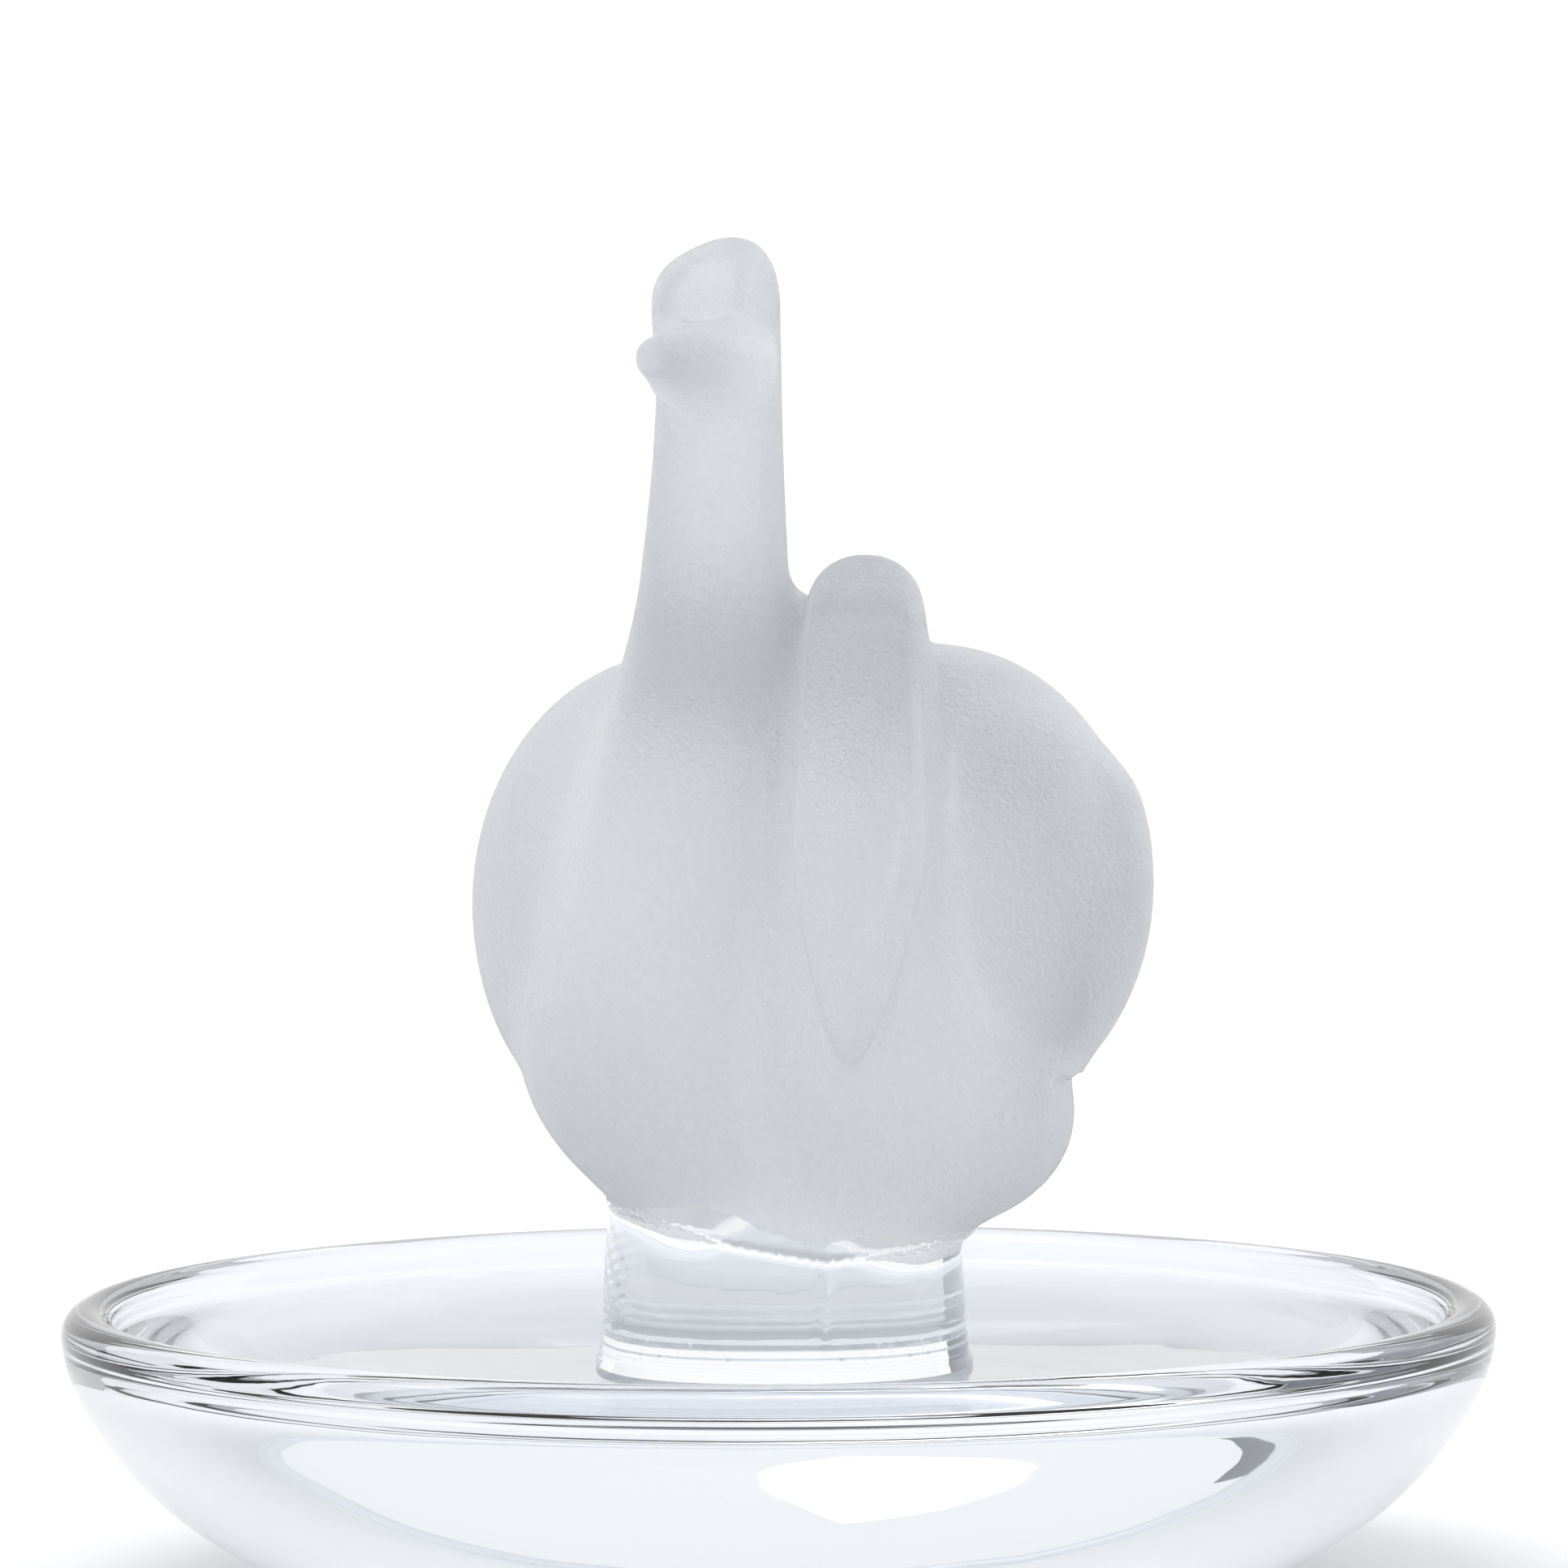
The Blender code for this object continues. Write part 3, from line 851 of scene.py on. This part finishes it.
@dataclass
class Dish:
    """The thick clear dish, turned about the middle of its underside, in millimetres."""

    diameter: float = 98.0
    foot: float = 50.0
    lip_height: float = 18.2
    lip: float = 3.6
    floor: float = 15.6
    floor_flat: float = 29.0
    outside_fullness: float = 1.75
    inside_fullness: float = 2.5
    sides: int = 192
    wall_steps: int = 28
    lip_steps: int = 16
    weld: float = 0.005

    def profile(self) -> list[tuple[float, float]]:
        """The half section from the middle of the underside, round the lip, to the floor."""
        foot, lip = 0.5 * self.foot, 0.5 * self.lip
        outside = 0.5 * self.diameter
        inside, flat = outside - self.lip, 0.5 * self.floor_flat
        points = [(0.0, 0.0)]
        for k in range(self.wall_steps + 1):
            c, s = superellipse(0.5 * math.pi * (1.0 - k / self.wall_steps), self.outside_fullness)
            points.append((foot + (outside - foot) * c, self.lip_height * (1.0 - s)))
        for k in range(1, self.lip_steps):
            turn = math.pi * k / self.lip_steps
            points.append((
                outside - lip + lip * math.cos(turn), self.lip_height + lip * math.sin(turn)
            ))
        fall = self.lip_height - self.floor
        for k in range(self.wall_steps + 1):
            c, s = superellipse(0.5 * math.pi * k / self.wall_steps, self.inside_fullness)
            points.append((flat + (inside - flat) * c, self.lip_height - fall * s))
        points.append((0.0, self.floor))
        return points

    def build(self) -> bpy.types.Object:
        """The dressed dish, a finer turning than the CAD's."""
        bm = bmesh.new()
        verts = [bm.verts.new((radius * MM, 0.0, z * MM)) for radius, z in self.profile()]
        edges = [bm.edges.new(pair) for pair in zip(verts, verts[1:])]
        bmesh.ops.spin(
            bm, geom=verts + edges, cent=(0.0, 0.0, 0.0), axis=(0.0, 0.0, 1.0),
            angle=2.0 * math.pi, steps=self.sides, use_merge=True,
        )
        bmesh.ops.remove_doubles(bm, verts=bm.verts, dist=self.weld * MM)
        bmesh.ops.recalc_face_normals(bm, faces=bm.faces)
        mesh = bpy.data.meshes.new("clear_dish")
        bm.to_mesh(mesh)
        bm.free()
        obj = linked_object("clear_dish", mesh)
        mesh.materials.append(ClearCrystal(Slot.CLEAR.value).make())
        mesh.shade_smooth()
        mesh.set_sharp_from_angle(angle=SHARP_ANGLE)
        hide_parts("dish")
        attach(obj, "root")
        return obj


@dataclass
class Studio:
    """A plain white table, soft light all round, and a dim room on the camera's side.

    The camera's distance and height are in millimetres, and everything else is in metres.
    """

    distance: float = 556.06
    eye_height: float = 84.51
    axis_down: float = 3.03
    roll: float = 0.3
    field_of_view: float = 10.975
    aim_shift: tuple[float, float] = (0.0067, 0.0015)
    clip: tuple[float, float] = (0.02, 60.0)
    world_strength: float = 1.06
    bounces: int = 24
    table_half: float = 30.0
    table_gap: float = 0.0001
    table_colour: Colour = (0.97, 0.97, 0.975)
    room_radius: float = 0.9
    room_height: float = 0.5
    room_opening: float = 0.575
    room_turn: float = 0.25
    room_colour: Colour = (0.45, 0.45, 0.46)
    # Painted shade: a dark card that only the glass sees, standing where there is only shade.
    shade_card_size: tuple[float, float] = (0.5, 0.4)
    shade_card_turn: float = 60.0
    shade_card_place: Place = (-0.65, 0.33, 0.28)
    shade_card_colour: Colour = (0.2, 0.21, 0.23)
    lamp_place: Place = (-0.25, -0.1, 0.9)
    lamp_size: float = 0.6
    lamp_power: float = 1.8
    lamp_aim: float = 0.04

    def camera(self) -> None:
        """The photograph's view: a long lens, a little above the dish's rim."""
        data = bpy.data.cameras.new("view")
        data.sensor_fit = "HORIZONTAL"
        data.angle = math.radians(self.field_of_view)
        data.shift_x, data.shift_y = self.aim_shift
        data.clip_start, data.clip_end = self.clip
        obj = bpy.data.objects.new("view", data)
        obj.location = (0.0, -self.distance * MM, self.eye_height * MM)
        obj.rotation_euler = Euler(
            (math.radians(90.0 - self.axis_down), math.radians(self.roll), 0.0), "XYZ"
        )
        bpy.context.scene.collection.objects.link(obj)
        bpy.context.scene.camera = obj

    def table(self) -> None:
        """A wide matt white table."""
        bm = bmesh.new()
        bmesh.ops.create_grid(bm, x_segments=1, y_segments=1, size=self.table_half)
        bmesh.ops.translate(bm, vec=(0.0, 0.0, -self.table_gap), verts=bm.verts)
        mesh = bpy.data.meshes.new("table")
        bm.to_mesh(mesh)
        bm.free()
        obj = linked_object("table", mesh)
        desk = NodeDesk("white table")
        desk.shader.inputs["Base Color"].default_value = (*self.table_colour, 1.0)
        desk.shader.inputs["Roughness"].default_value = 0.9
        desk.shader.inputs["Specular IOR Level"].default_value = 0.1
        mesh.materials.append(desk.material)

    def world(self) -> None:
        """An even white surround."""
        world = bpy.data.worlds.new("white surround")
        world.use_nodes = True
        back = world.node_tree.nodes["Background"]
        back.inputs["Color"].default_value = (1.0, 1.0, 1.0, 1.0)
        back.inputs["Strength"].default_value = self.world_strength
        bpy.context.scene.world = world

    def dim_room(self) -> None:
        """A grey screen on the camera's side that only the glass sees, as the dim room there."""
        bm = bmesh.new()
        bmesh.ops.create_circle(bm, segments=48, radius=self.room_radius)
        open_side = [
            vert for vert in bm.verts
            if vert.co.y + self.room_turn * vert.co.x > self.room_opening
        ]
        bmesh.ops.delete(bm, geom=open_side, context="VERTS")
        arc = list(bm.edges)
        walls = bmesh.ops.extrude_edge_only(bm, edges=arc)["geom"]
        lifted = [item for item in walls if isinstance(item, bmesh.types.BMVert)]
        bmesh.ops.translate(bm, vec=(0.0, 0.0, self.room_height), verts=lifted)
        mesh = bpy.data.meshes.new("dim room")
        bm.to_mesh(mesh)
        bm.free()
        self.seen_by_glass(linked_object("dim_room", mesh), self.room_colour)

    def shade_card(self) -> None:
        """Painted shade: a dark upright card on the left, seen only by the glass."""
        bm = bmesh.new()
        bmesh.ops.create_grid(bm, x_segments=1, y_segments=1, size=0.5)
        bmesh.ops.scale(bm, vec=(*self.shade_card_size, 1.0), verts=bm.verts)
        upright = Matrix.Rotation(math.radians(90.0), 3, "X")
        turned = Matrix.Rotation(math.radians(self.shade_card_turn), 3, "Z") @ upright
        bmesh.ops.rotate(bm, matrix=turned, verts=bm.verts)
        bmesh.ops.translate(bm, vec=self.shade_card_place, verts=bm.verts)
        mesh = bpy.data.meshes.new("shade card")
        bm.to_mesh(mesh)
        bm.free()
        self.seen_by_glass(linked_object("shade_card", mesh), self.shade_card_colour)

    def seen_by_glass(self, obj: bpy.types.Object, colour: Colour) -> None:
        """Gives a card its colour, and hides it from the camera and from matt surfaces."""
        desk = NodeDesk(obj.name)
        desk.shader.inputs["Base Color"].default_value = (*colour, 1.0)
        desk.shader.inputs["Roughness"].default_value = 1.0
        obj.data.materials.append(desk.material)
        obj.visible_camera = False
        obj.visible_shadow = False
        obj.visible_diffuse = False

    def lamp(self) -> None:
        """A soft square lamp over the dish, its power in watts."""
        data = bpy.data.lights.new("top softbox", "AREA")
        data.size = self.lamp_size
        data.energy = self.lamp_power
        obj = bpy.data.objects.new("top softbox", data)
        obj.location = self.lamp_place
        aim = Vector((0.0, 0.0, self.lamp_aim)) - Vector(self.lamp_place)
        obj.rotation_euler = aim.to_track_quat("-Z", "Y").to_euler()
        bpy.context.scene.collection.objects.link(obj)

    def build(self) -> None:
        """Everything around the object."""
        self.camera()
        self.table()
        self.world()
        self.dim_room()
        self.shade_card()
        self.lamp()
        scene = bpy.context.scene
        scene.view_settings.view_transform = "Standard"
        scene.cycles.max_bounces = self.bounces
        scene.cycles.transmission_bounces = self.bounces
        scene.cycles.transparent_max_bounces = self.bounces


def main() -> None:
    """Builds the dish, the swans and the studio, and logs each step's name."""
    logging.basicConfig(level=logging.INFO, format="%(name)s: %(message)s")
    dish = Dish()
    steps: dict[str, Callable[[], object]] = {
        "clear dish": dish.build,
        "frosted swans": SwanPair(dish.floor).build,
        "studio": Studio().build,
    }
    for name, build in steps.items():
        build()
        LOG.info("built %s", name)


if __name__ == "__main__":
    main()
